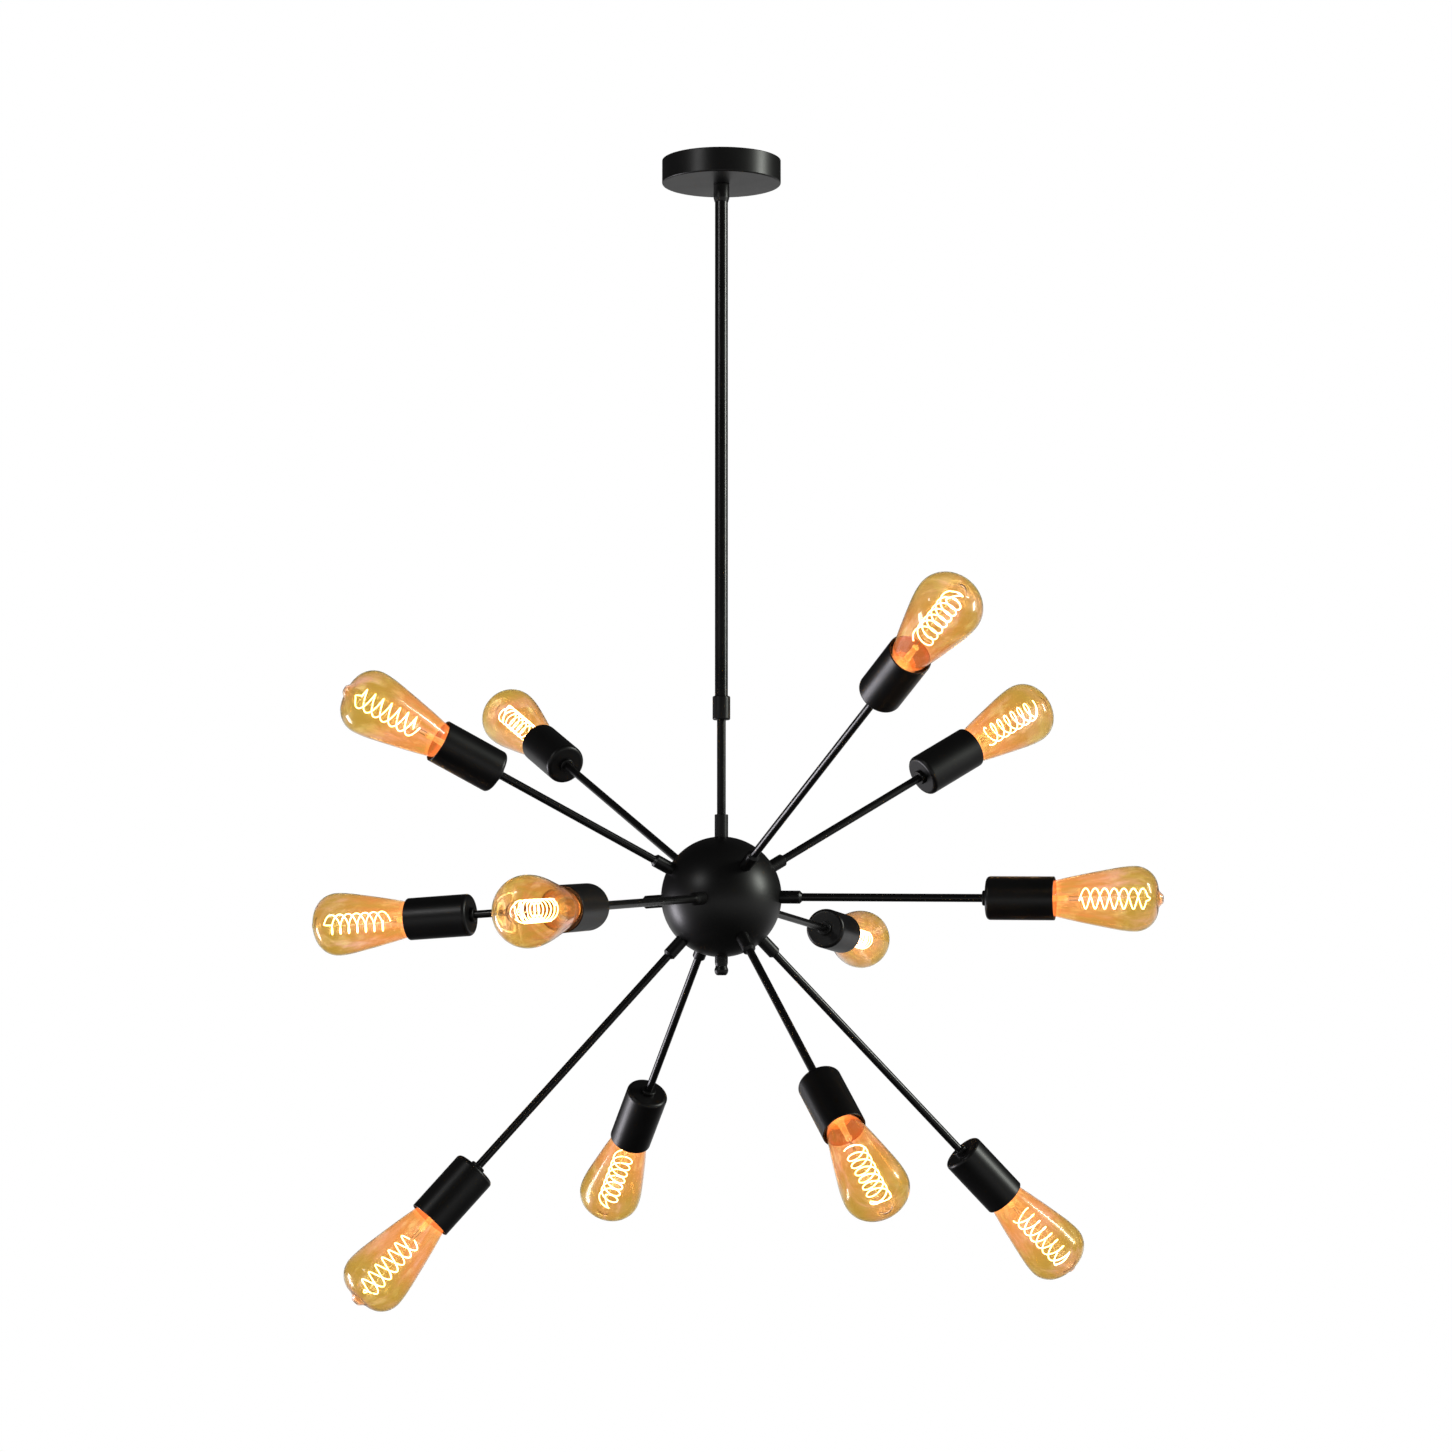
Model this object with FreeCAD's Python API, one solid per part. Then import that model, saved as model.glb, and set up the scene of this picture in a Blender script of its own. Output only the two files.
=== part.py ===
import FreeCAD, Part
import math
import os
from FreeCAD import Placement, Rotation, Vector

# A ceiling chandelier: a ball on a telescopic stem, with twelve straight arms that each end in a
# lamp cup and a bare tapered bulb. Millimetres. z = 0 is the ceiling, and the stem hangs down the
# Z axis. Each arm has its own axis through the middle of the ball.

# clearances
fit = 0.05              # a round piece in the bore that holds it, on the radius
loose = 0.3             # a piece that only has to pass, on the radius
end_gap = 0.1           # between the ends of two pieces that meet end to end
least_round = 0.2       # of an inner corner behind a thick wall

# ceiling bar
bar_length = 104.0
bar_width = 22.0
bar_thickness = 2.0
bar_drop = 8.0          # how far its middle hangs below the ceiling
bar_middle = 44.0       # length of that middle
bar_ramp = 4.0
slot_spacing = 78.0
slot_width = 5.2
slot_length = 16.0
ground_screw_x = 15.0
ground_screw_radius = 2.0
ground_head_radius = 3.8
ground_head_height = 2.4
ground_screw_reach = 3.0    # of its end above the bar

# hollow threaded nipple and its two nuts
nipple_radius = 5.145
nipple_bore = 3.6
nipple_above = 5.0      # above the bar's middle
nipple_in_tube = 15.0
nipple_nut_flats = 15.0
nipple_nut_height = 3.0

# canopy
canopy_radius = 60.0
canopy_height = 25.0
canopy_wall = 1.2
canopy_edge = 1.6       # rounding of its lower edge
canopy_ceiling_gap = 0.5
collar_radius = 8.0
collar_height = 18.0
collar_taper = 4.0      # height of the narrowed foot
collar_foot_radius = 7.0
grub_radius = 1.5

# telescopic stem
upper_tube_radius = 6.5
upper_tube_wall = 1.3
upper_tube_end = 560.0  # of its lower end below the ceiling
tube_collar_radius = 8.85
tube_collar_height = 24.0
tube_collar_overlap = 15.5  # of the collar on the upper tube
tube_collar_edge = 1.5
lower_tube_radius = 4.4
lower_tube_wall = 1.2
lower_tube_hidden = 366.0   # of the lower tube above the upper tube's lower end
lip_height = 1.0
bush_length = 14.0
cable_radius = 2.9

# ball
ball_drop = 745.0       # of its middle below the ceiling
ball_radius = 60.0
ball_wall = 3.0
ball_sleeve_radius = 6.75
ball_sleeve_height = 22.0
ball_nut_flats = 13.0
ball_nut_height = 4.0
nut_thread_end = 1.0    # of a thread past its nut
crimp_radius = 5.5
crimp_length = 20.0

# finial
finial_length = 18.0
finial_collar_radius = 6.5
finial_collar_height = 5.8
finial_neck_radius = 5.9
finial_neck_height = 9.4    # above the finial's foot
finial_knob_radius = 6.9
finial_knob_height = 5.0    # of its widest line above the foot
finial_foot_radius = 4.0
stud_radius = 3.0
stud_nut_flats = 10.0
stud_nut_height = 3.0

# arms
rod_radius = 4.0
rod_bore = 2.5
arm_sleeve_radius = 6.5
arm_sleeve_length = 21.5
arm_sleeve_chamfer = 2.4
arm_nut_flats = 12.0
arm_nut_height = 3.5
lead_radius = 2.2
lead_start = 18.0       # of a lead from the middle of the ball
short_arm = 265.0       # middle of the ball to the back of the cup
long_arm = 364.5

# Azimuth from +X towards +Y, elevation above the horizontal, and reach of each arm.
arms = {
    "upper": [(203.5, 26.1, short_arm), (120.3, 24.8, long_arm),
              (297.1, 28.7, long_arm), (28.0, 28.8, short_arm)],
    "middle": [(163.5, -3.3, short_arm), (250.8, -3.6, long_arm),
               (349.3, -0.7, short_arm), (72.1, -3.2, long_arm)],
    "lower": [(196.9, -47.0, long_arm), (115.1, -47.5, short_arm),
              (298.3, -43.0, short_arm), (21.1, -44.3, long_arm)],
}

# lamp cup, on its own axis with 0 at the mouth and + out of it
cup_length = 67.0
cup_radius = 21.5
cup_wall = 1.5
cup_floor = 2.0
cup_corner = 4.0        # rounding of its back corner
cup_mouth_chamfer = 0.5
boss_radius = 7.5
boss_length = 4.0
boss_chamfer = 1.0
cup_nut_flats = 12.0
cup_nut_height = 3.0

# lamp holder inside the cup
holder_mouth = 14.0     # below the cup's mouth
holder_gap = 1.2        # from the rod's end to the holder
contact_height = 3.7    # of the centre contact above the holder's floor
shell_radius = 14.2
shell_wall = 0.6
shell_mouth = 18.0      # below the cup's mouth
contact_radius = 3.0

# bulb
bulb_radius = 32.0
bulb_reach = 106.0      # tip beyond the cup's mouth
bulb_throat = 17.6      # glass radius at the cup's mouth
cone_radius = 28.6
cone_reach = 52.0
shoulder_radius = 31.4
shoulder_reach = 66.0
dome_reach = 78.5       # widest point beyond the cup's mouth
dome_round = 22.5
glass_wall = 0.9
neck_radius = 12.4
neck_start = 13.0       # of the neck below the cup's mouth
neck_in_cap = 7.0
tip_radius = 4.5
tip_straight = 2.5
tip_round = 1.5
cap_radius = 13.1
cap_wall = 0.6
cap_mouth = 13.5        # below the cup's mouth
cap_length = 24.5
cap_taper = 2.0         # height of its narrowed foot
cap_lip = 2.0           # width of its turned-in foot
insulator_height = 3.5
insulator_radius = 11.0
insulator_foot = 5.0
tip_contact_height = 1.5
tip_contact_radius = 4.0

# filament and its glass mount
mount_neck_radius = 3.0
mount_flare_height = 12.0
mount_rim = 1.0         # height of the flare's edge
mount_reach = 14.0      # beyond the cup's mouth
support_radius = 0.5
support_arm_radius = 0.35
support_spread = 1.6
coil_start = 26.0
coil_pitch = 9.6
coil_turns = 6.5
coil_radius = 10.5
coil_wire = 1.5         # side of its square section

up = Vector(0, 0, 1)
ball_middle = Vector(0, 0, -ball_drop)


def tube(outer, inner, low, high):
    # A plain ring about Z.
    body = Part.makeCylinder(outer, high - low, Vector(0, 0, low))
    return body.cut(Part.makeCylinder(inner, high - low, Vector(0, 0, low)))


def quarter(start, end, flat_first=True):
    # The halfway point of a quarter round that leaves start along the radius, or else along the height.
    s = math.sqrt(0.5)
    across, rise = end[0] - start[0], end[1] - start[1]
    if flat_first:
        return (start[0] + across * s, start[1] + rise * (1 - s))
    return (start[0] + across * (1 - s), start[1] + rise * s)


def rounded(start, end, flat_first=True):
    return (quarter(start, end, flat_first), end)


def turned(start, *steps):
    # A closed outline of (radius, height) points turned about Z. A step of two points is an arc.
    edges = []
    here = start
    for step in steps + (start,):
        end = step[1] if isinstance(step[0], tuple) else step
        first, last = Vector(here[0], 0, here[1]), Vector(end[0], 0, end[1])
        if isinstance(step[0], tuple):
            middle = Vector(step[0][0], 0, step[0][1])
            edges.append(Part.Arc(first, middle, last).toShape())
        elif first.distanceToPoint(last) > 1e-6:
            edges.append(Part.makeLine(first, last))
        here = end
    body = Part.Face(Part.Wire(edges)).revolve(Vector(), up, 360)
    if body.Volume < 0:
        body.reverse()
    return body


def hex_nut(flats, bore, low, high):
    corner = flats / math.sqrt(3)
    points = [Vector(corner * math.cos(math.radians(60 * k)), corner * math.sin(math.radians(60 * k)), low)
              for k in range(7)]
    body = Part.Face(Part.makePolygon(points)).extrude(Vector(0, 0, high - low))
    return body.cut(Part.makeCylinder(bore, high - low, Vector(0, 0, low)))


def nut_seat(flats, inside):
    # Height on an axis at which a nut's corners touch the inside of the ball.
    return math.sqrt(inside ** 2 - flats ** 2 / 3)


def direction(azimuth, elevation):
    a, e = math.radians(azimuth), math.radians(elevation)
    return Vector(math.cos(e) * math.cos(a), math.cos(e) * math.sin(a), math.sin(e))


def on_arm(shape, arm, from_mouth=False):
    # Lays a shape that was drawn on Z along an arm, from the ball's middle or from its cup's mouth.
    azimuth, elevation, reach = arm
    way = direction(azimuth, elevation)
    base = ball_middle + way * (reach + cup_length) if from_mouth else ball_middle
    laid = shape.copy()
    laid.Placement = Placement(base, Rotation(up, way))
    return laid


def on_arms(make, chosen, from_mouth=True):
    return Part.makeCompound([on_arm(make, arm, from_mouth) for arm in chosen])


# ---- ceiling bar, nipple and nuts ----

def make_mounting_bar():
    half, middle = bar_length / 2, bar_middle / 2
    top = [(-half, 0), (-middle - bar_ramp, 0), (-middle, -bar_drop),
           (middle, -bar_drop), (middle + bar_ramp, 0), (half, 0)]
    under = [(x, z - bar_thickness) for x, z in reversed(top)]
    points = [Vector(x, -bar_width / 2, z) for x, z in top + under + top[:1]]
    bar = Part.Face(Part.makePolygon(points)).extrude(Vector(0, bar_width, 0))
    bar = bar.cut(on_bar(nipple_radius + fit, 0))
    bar = bar.cut(on_bar(ground_screw_radius + fit, ground_screw_x))
    for side in (-1, 1):
        bar = bar.cut(slot_cutter(side * slot_spacing / 2))
    return bar


def on_bar(radius, x):
    return Part.makeCylinder(radius, bar_thickness, Vector(x, 0, -bar_drop - bar_thickness))


def slot_cutter(x):
    radius = slot_width / 2
    run = slot_length / 2 - radius
    cutter = Part.makeBox(2 * run, slot_width, bar_thickness, Vector(x - run, -radius, -bar_thickness))
    for end in (x - run, x + run):
        cutter = cutter.fuse(Part.makeCylinder(radius, bar_thickness, Vector(end, 0, -bar_thickness)))
    return cutter


bar_top = -bar_drop
bar_under = -bar_drop - bar_thickness
tube_top = bar_under - nipple_nut_height


def make_nipple():
    return tube(nipple_radius, nipple_bore, tube_top - nipple_in_tube, bar_top + nipple_above)


def make_nipple_nuts():
    bore = nipple_radius + fit
    return Part.makeCompound([
        hex_nut(nipple_nut_flats, bore, bar_top, bar_top + nipple_nut_height),
        hex_nut(nipple_nut_flats, bore, tube_top, bar_under)])


def make_ground_screw():
    high = bar_top + ground_screw_reach
    shank = Part.makeCylinder(ground_screw_radius, high - bar_under, Vector(ground_screw_x, 0, bar_under))
    head = Part.makeCylinder(ground_head_radius, ground_head_height,
                             Vector(ground_screw_x, 0, bar_under - ground_head_height))
    return shank.fuse(head).removeSplitter()


# ---- canopy and its collar ----

canopy_under = -canopy_height
collar_foot = canopy_under - collar_height


def make_canopy():
    r, wall, edge = canopy_radius, canopy_wall, canopy_edge
    hole = upper_tube_radius + loose
    inner_edge = max(edge - wall, least_round)
    outer_foot, outer_side = (r - edge, canopy_under), (r, canopy_under + edge)
    inner_side = (r - wall, canopy_under + wall + inner_edge)
    inner_foot = (r - wall - inner_edge, canopy_under + wall)
    return turned(
        (hole, canopy_under), outer_foot, rounded(outer_foot, outer_side),
        (r, -canopy_ceiling_gap), (r - wall, -canopy_ceiling_gap),
        inner_side, rounded(inner_side, inner_foot, False), (hole, canopy_under + wall))


def radial_pin(radius, inner, outer, z):
    # A short screw that points at the stem from behind.
    return Part.makeCylinder(radius, outer - inner, Vector(0, inner, z), Vector(0, 1, 0))


collar_screw_z = canopy_under - (collar_height - collar_taper) / 2
collar_bore = upper_tube_radius + fit


def make_canopy_collar():
    body = turned((collar_bore, canopy_under), (collar_radius, canopy_under),
                  (collar_radius, collar_foot + collar_taper), (collar_foot_radius, collar_foot),
                  (collar_bore, collar_foot))
    return body.cut(radial_pin(grub_radius + fit, 0, 2 * collar_radius, collar_screw_z))


def make_canopy_screw():
    return radial_pin(grub_radius, collar_bore, collar_radius - end_gap, collar_screw_z)


# ---- telescopic stem ----

upper_tube_bore = upper_tube_radius - upper_tube_wall
tube_collar_top = -upper_tube_end + tube_collar_overlap
tube_collar_foot = tube_collar_top - tube_collar_height
lower_bore = lower_tube_radius + fit
clamp_z = (-upper_tube_end + tube_collar_foot) / 2
lower_tube_top = -upper_tube_end + lower_tube_hidden
ball_inside = ball_radius - ball_wall
ball_nut_top = nut_seat(ball_nut_flats, ball_inside)
stud_nut_seat = nut_seat(stud_nut_flats, ball_inside)
lower_tube_foot = -ball_drop + ball_nut_top - ball_nut_height - nut_thread_end


def make_upper_tube():
    return tube(upper_tube_radius, upper_tube_bore, -upper_tube_end, tube_top)


def make_tube_collar():
    r, edge = tube_collar_radius, tube_collar_edge
    body = turned((upper_tube_radius + fit, tube_collar_top), (r - edge, tube_collar_top),
                  (r, tube_collar_top - edge), (r, tube_collar_foot + edge), (r - edge, tube_collar_foot),
                  (lower_bore, tube_collar_foot), (lower_bore, -upper_tube_end),
                  (upper_tube_radius + fit, -upper_tube_end))
    return body.cut(radial_pin(grub_radius + fit, 0, 2 * r, clamp_z))


def make_tube_set_screw():
    return radial_pin(grub_radius, lower_bore, tube_collar_radius - end_gap, clamp_z)


def make_guide_bush():
    top = lower_tube_top - lip_height
    return tube(upper_tube_bore - fit, lower_bore, top - bush_length, top)


def make_lower_tube():
    # The lip on its upper end rests on the guide bush.
    bore = lower_tube_radius - lower_tube_wall
    lip = (lower_tube_radius + upper_tube_bore) / 2
    stem = tube(lower_tube_radius, bore, lower_tube_foot, lower_tube_top)
    return stem.fuse(tube(lip, bore, lower_tube_top - lip_height, lower_tube_top)).removeSplitter()


def make_stem_cable():
    low = -ball_drop + crimp_length / 2
    return Part.makeCylinder(cable_radius, lower_tube_top - low, Vector(0, 0, low))


# ---- ball, with what closes it and what it holds ----

def make_ball():
    ball = Part.makeSphere(ball_radius).cut(Part.makeSphere(ball_inside))
    ball = ball.cut(Part.makeCylinder(lower_bore, ball_radius))
    ball = ball.cut(Part.makeCylinder(stud_radius + fit, ball_radius, Vector(), -up))
    ball.translate(ball_middle)
    for arm in all_arms:
        ball = ball.cut(on_arm(Part.makeCylinder(rod_radius + fit, ball_radius), arm))
    return ball


def make_ball_sleeve():
    body = tube(ball_sleeve_radius, lower_bore, 0, ball_radius + ball_sleeve_height)
    body = body.cut(Part.makeSphere(ball_radius))
    body.translate(ball_middle)
    return body


def make_ball_nut():
    body = hex_nut(ball_nut_flats, lower_bore, ball_nut_top - ball_nut_height, ball_nut_top)
    body.translate(ball_middle)
    return body


def make_crimp_caps():
    # Two closed crimp caps hang side by side from the cable's end.
    caps = []
    for side in (-1, 1):
        cap = Part.makeCylinder(crimp_radius, crimp_length, Vector(0, 0, -crimp_length / 2))
        cap.translate(ball_middle + Vector(side * (crimp_radius + end_gap / 2), 0, 0))
        caps.append(cap)
    return Part.makeCompound(caps)


def make_finial():
    # Drawn downwards from the ball: collar, neck, rounded knob, and the stud that holds it.
    low = -ball_radius - finial_length
    foot, knob = (finial_foot_radius, low), (finial_knob_radius, low + finial_knob_height)
    neck = (finial_neck_radius, low + finial_neck_height)
    body = turned(
        (0, low), foot, rounded(foot, knob), rounded(knob, neck, False),
        (finial_collar_radius, -ball_radius - finial_collar_height), (finial_collar_radius, 0), (0, 0))
    body = body.cut(Part.makeSphere(ball_radius))
    stud_top = -stud_nut_seat + stud_nut_height + nut_thread_end
    stud = Part.makeCylinder(stud_radius, stud_top - low - finial_length / 2,
                             Vector(0, 0, low + finial_length / 2))
    body = body.fuse(stud).removeSplitter()
    body.translate(ball_middle)
    return body


def make_finial_nut():
    body = hex_nut(stud_nut_flats, stud_radius + fit, -stud_nut_seat, -stud_nut_seat + stud_nut_height)
    body.translate(ball_middle)
    return body


# ---- arms ----

arm_nut_top = nut_seat(arm_nut_flats, ball_inside)
rod_start = arm_nut_top - arm_nut_height - nut_thread_end
cup_back = -cup_length
cup_nut_top = cup_back + cup_floor + cup_nut_height
rod_end_from_mouth = cup_nut_top + nut_thread_end
holder_back = rod_end_from_mouth + holder_gap


def make_arm_sleeve():
    r, bore = arm_sleeve_radius, rod_radius + fit
    high = ball_radius + arm_sleeve_length
    body = turned((bore, ball_inside), (r, ball_inside), (r, high - arm_sleeve_chamfer),
                  (r - arm_sleeve_chamfer, high), (bore, high))
    return body.cut(Part.makeSphere(ball_radius))


def make_arm_nut():
    return hex_nut(arm_nut_flats, rod_radius + fit, arm_nut_top - arm_nut_height, arm_nut_top)


def make_rod(arm):
    end = arm[2] + cup_length + rod_end_from_mouth
    return on_arm(tube(rod_radius, rod_bore, rod_start, end), arm)


def make_leads():
    # The sheathed lead of each lamp, from the ball to the back of its lamp holder.
    leads = []
    for arm in all_arms:
        end = arm[2] + cup_length + holder_back - end_gap
        leads.append(on_arm(Part.makeCylinder(lead_radius, end - lead_start, Vector(0, 0, lead_start)), arm))
    return Part.makeCompound(leads)


# ---- lamp cup and lamp holder ----

def make_cup():
    r, wall, corner = cup_radius, cup_wall, cup_corner
    inner_corner = max(corner - wall, least_round)
    bore = rod_radius + fit
    floor = cup_back + cup_floor
    outer_foot, outer_side = (r - corner, cup_back), (r, cup_back + corner)
    inner_side, inner_foot = (r - wall, floor + inner_corner), (r - wall - inner_corner, floor)
    return turned(
        (bore, cup_back), outer_foot, rounded(outer_foot, outer_side),
        (r, -cup_mouth_chamfer), (r - cup_mouth_chamfer, 0), (r - wall, 0),
        inner_side, rounded(inner_side, inner_foot, False), (bore, floor))


def make_boss():
    r, bore = boss_radius, rod_radius + fit
    back = cup_back - boss_length
    return turned((bore, back), (r - boss_chamfer, back), (r, back + boss_chamfer), (r, cup_back),
                  (bore, cup_back))


def make_cup_nut():
    return hex_nut(cup_nut_flats, rod_radius + fit, cup_back + cup_floor, cup_nut_top)


cap_foot = -cap_mouth - cap_length
bulb_foot = cap_foot - insulator_height - tip_contact_height
holder_radius = cup_radius - cup_wall - loose
holder_seat = bulb_foot - end_gap - contact_height


def make_holder():
    # An insulating cup that carries the brass shell, with a hole for the contact's rivet.
    r, bore = holder_radius, shell_radius + fit
    mouth = -holder_mouth
    corner = max(cup_corner - cup_wall, least_round)
    return turned((0, holder_back), (r - corner, holder_back), (r, holder_back + corner), (r, mouth),
                  (bore, mouth), (bore, holder_seat), (0, holder_seat))


def make_shell():
    return tube(shell_radius, shell_radius - shell_wall, holder_seat, -shell_mouth)


def make_contact():
    return Part.makeCylinder(contact_radius, contact_height, Vector(0, 0, holder_seat))


# ---- bulb ----

glass_foot = -cap_mouth - neck_in_cap


def bulb_form(inset, foot):
    # The bulb's outline turned about its axis, drawn in from the outside of the glass by inset.
    widest = (bulb_radius - inset, dome_reach)
    top = (bulb_radius - dome_round, dome_reach + dome_round - inset)
    return turned(
        (0, foot), (neck_radius - inset, foot), (neck_radius - inset, -neck_start),
        (bulb_throat - inset, 0), (cone_radius - inset, cone_reach),
        ((shoulder_radius - inset, shoulder_reach), widest), rounded(widest, top, False), (0, top[1]))


def make_glass():
    glass = bulb_form(0, glass_foot)
    # The pip where the bulb was sealed sweeps up out of the dome.
    base, end = dome_reach + dome_round, bulb_reach
    skirt, side = (2 * tip_radius, base), (tip_radius, end - tip_straight)
    shoulder, top = (tip_radius, end - tip_round), (tip_radius - tip_round, end)
    glass = glass.fuse(turned(
        (0, base - glass_wall / 2), (skirt[0], base - glass_wall / 2), skirt, rounded(skirt, side),
        shoulder, rounded(shoulder, top, False), (0, end)))
    return glass.cut(bulb_form(glass_wall, glass_foot - glass_wall)).removeSplitter()


def make_cap():
    r, wall, lip = cap_radius, cap_wall, insulator_radius - cap_lip
    taper_top = cap_foot + cap_taper
    return turned((lip, cap_foot), (insulator_radius, cap_foot), (r, taper_top), (r, -cap_mouth),
                  (r - wall, -cap_mouth), (r - wall, taper_top + wall), (lip, taper_top + wall))


def make_cap_insulator():
    return turned((0, cap_foot - insulator_height), (insulator_foot, cap_foot - insulator_height),
                  (insulator_radius, cap_foot), (0, cap_foot))


def make_tip_contact():
    top = cap_foot - insulator_height
    return turned((0, bulb_foot), (tip_contact_radius / 2, bulb_foot), (tip_contact_radius, top), (0, top))


mount_flare_radius = neck_radius - glass_wall - fit


def make_mount():
    # The flared glass stem that closes the neck.
    foot, flare = glass_foot, mount_flare_radius
    return turned((0, foot), (flare, foot), (flare, foot + mount_rim),
                  (mount_neck_radius, foot + mount_flare_height), (mount_neck_radius, mount_reach),
                  (0, mount_reach))


def coil_point(turn):
    a = 2 * math.pi * turn
    return Vector(coil_radius * math.cos(a), coil_radius * math.sin(a), coil_start + coil_pitch * turn)


def coil_heading(turn):
    a = 2 * math.pi * turn
    way = Vector(-2 * math.pi * coil_radius * math.sin(a), 2 * math.pi * coil_radius * math.cos(a), coil_pitch)
    return way.normalize()


def arc_from(start, heading, end):
    chord = end - start
    bend = heading.getAngle(chord)
    along = (end - start).normalize()
    rise = (heading - along * heading.dot(along)).normalize()
    return Part.Arc(start, (start + end) / 2 + rise * (chord.Length / 2 * math.tan(bend / 2)), end).toShape()


def biarc(start, start_heading, end, end_heading):
    # Two arcs that leave and arrive in the given headings and meet smoothly.
    span = end - start
    both = start_heading + end_heading
    spare = 2 * (1 - start_heading.dot(end_heading))
    reach = (-span.dot(both) + math.sqrt(span.dot(both) ** 2 + spare * span.dot(span))) / spare
    first, last = start + start_heading * reach, end - end_heading * reach
    meet = (first + last) / 2
    return [arc_from(start, start_heading, meet), arc_from(meet, (last - first).normalize(), end)]


def make_coil():
    steps = int(round(coil_turns * 4))
    turns = [coil_turns * k / steps for k in range(steps + 1)]
    edges = []
    for a, b in zip(turns, turns[1:]):
        edges += biarc(coil_point(a), coil_heading(a), coil_point(b), coil_heading(b))
    path = Part.Wire(edges)
    half = coil_wire / 2
    start, out = coil_point(0), Vector(1, 0, 0)
    side = coil_heading(0).cross(out)
    corners = [start + out * (half * x) + side * (half * y)
               for x, y in ((-1, -1), (1, -1), (1, 1), (-1, 1), (-1, -1))]
    return path.makePipeShell([Part.makePolygon(corners)], True, False)


def make_supports():
    # Two wires stand on the mount and reach the coil's near end and, along the axis, its far end.
    wires = []
    near, far = coil_point(0), coil_point(coil_turns)
    for end, x in ((near, support_spread), (far, -support_spread)):
        high = end.z
        post = Part.makeCylinder(support_radius, high - mount_reach, Vector(x, 0, mount_reach))
        way = Vector(end.x - x, end.y, 0)
        length = way.Length - coil_wire / 2 - end_gap
        arm = Part.makeCylinder(support_arm_radius, length, Vector(x, 0, high - support_radius), way)
        wires.append(post.fuse(arm).removeSplitter())
    return Part.makeCompound(wires)


# ---- write every piece ----

all_arms = [arm for tier in arms.values() for arm in tier]


def make_parts():
    parts = {
        "mounting_bar": make_mounting_bar(),
        "threaded_nipple": make_nipple(),
        "nipple_nuts": make_nipple_nuts(),
        "ground_screw": make_ground_screw(),
        "canopy": make_canopy(),
        "canopy_collar": make_canopy_collar(),
        "canopy_set_screw": make_canopy_screw(),
        "upper_tube": make_upper_tube(),
        "tube_collar": make_tube_collar(),
        "tube_set_screw": make_tube_set_screw(),
        "guide_bush": make_guide_bush(),
        "lower_tube": make_lower_tube(),
        "stem_cable": make_stem_cable(),
        "ball_sleeve": make_ball_sleeve(),
        "ball": make_ball(),
        "ball_nut": make_ball_nut(),
        "crimp_caps": make_crimp_caps(),
        "finial": make_finial(),
        "finial_nut": make_finial_nut(),
        "arm_sleeves": on_arms(make_arm_sleeve(), all_arms, False),
        "arm_nuts": on_arms(make_arm_nut(), all_arms, False),
        "arm_leads": make_leads(),
        "cup_bosses": on_arms(make_boss(), all_arms),
        "cup_nuts": on_arms(make_cup_nut(), all_arms),
        "screw_shells": on_arms(make_shell(), all_arms),
        "centre_contacts": on_arms(make_contact(), all_arms),
        "bulb_insulators": on_arms(make_cap_insulator(), all_arms),
        "bulb_contacts": on_arms(make_tip_contact(), all_arms),
        "filament_mounts": on_arms(make_mount(), all_arms),
        "filament_supports": on_arms(make_supports(), all_arms),
    }
    for number, arm in enumerate(all_arms, 1):
        parts["arm_rod_%02d" % number] = make_rod(arm)
    repeated = {"lamp_cups": make_cup(), "lamp_holders": make_holder(), "bulb_glass": make_glass(),
                "bulb_caps": make_cap(), "filaments": make_coil()}
    for name, shape in repeated.items():
        for tier, chosen in arms.items():
            parts["%s_%s" % (name, tier)] = on_arms(shape, chosen)
    return parts


os.makedirs("parts", exist_ok=True)
for name, shape in make_parts().items():
    shape.exportStep("parts/%s.step" % name)
    print(name, len(shape.Solids), "solids", shape.isValid())
print("least gap of a filament coil to itself: %.2f mm" % (coil_pitch - coil_wire))
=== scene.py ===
import math

import bmesh
import bpy
from mathutils import Matrix, Vector


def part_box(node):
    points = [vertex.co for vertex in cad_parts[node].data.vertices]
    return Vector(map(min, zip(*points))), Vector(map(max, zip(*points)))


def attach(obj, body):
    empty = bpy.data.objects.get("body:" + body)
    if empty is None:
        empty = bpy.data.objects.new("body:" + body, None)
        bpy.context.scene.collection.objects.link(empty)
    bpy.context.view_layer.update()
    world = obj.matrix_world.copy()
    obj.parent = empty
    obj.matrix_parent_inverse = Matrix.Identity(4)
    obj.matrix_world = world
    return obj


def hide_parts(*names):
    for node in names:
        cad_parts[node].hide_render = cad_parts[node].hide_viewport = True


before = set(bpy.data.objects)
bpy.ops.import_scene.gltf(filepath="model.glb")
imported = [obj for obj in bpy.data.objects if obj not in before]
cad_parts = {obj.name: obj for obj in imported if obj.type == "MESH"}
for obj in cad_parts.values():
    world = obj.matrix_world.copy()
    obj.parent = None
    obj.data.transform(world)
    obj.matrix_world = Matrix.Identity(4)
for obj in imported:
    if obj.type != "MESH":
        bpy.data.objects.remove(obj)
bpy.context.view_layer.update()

print("frame loaded:", len(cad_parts), "nodes")

# Where things are, in metres. z = 0 is the ceiling.
layout = {
    "ballDrop": 0.745,
    "shortArm": 0.265,       # middle of the ball to the back of the cup
    "longArm": 0.3645,
    "cupLength": 0.067,
    "clearance": 0.00005,    # between two turned pieces that fit together
}
ballMiddle = Vector((0, 0, -layout["ballDrop"]))

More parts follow.
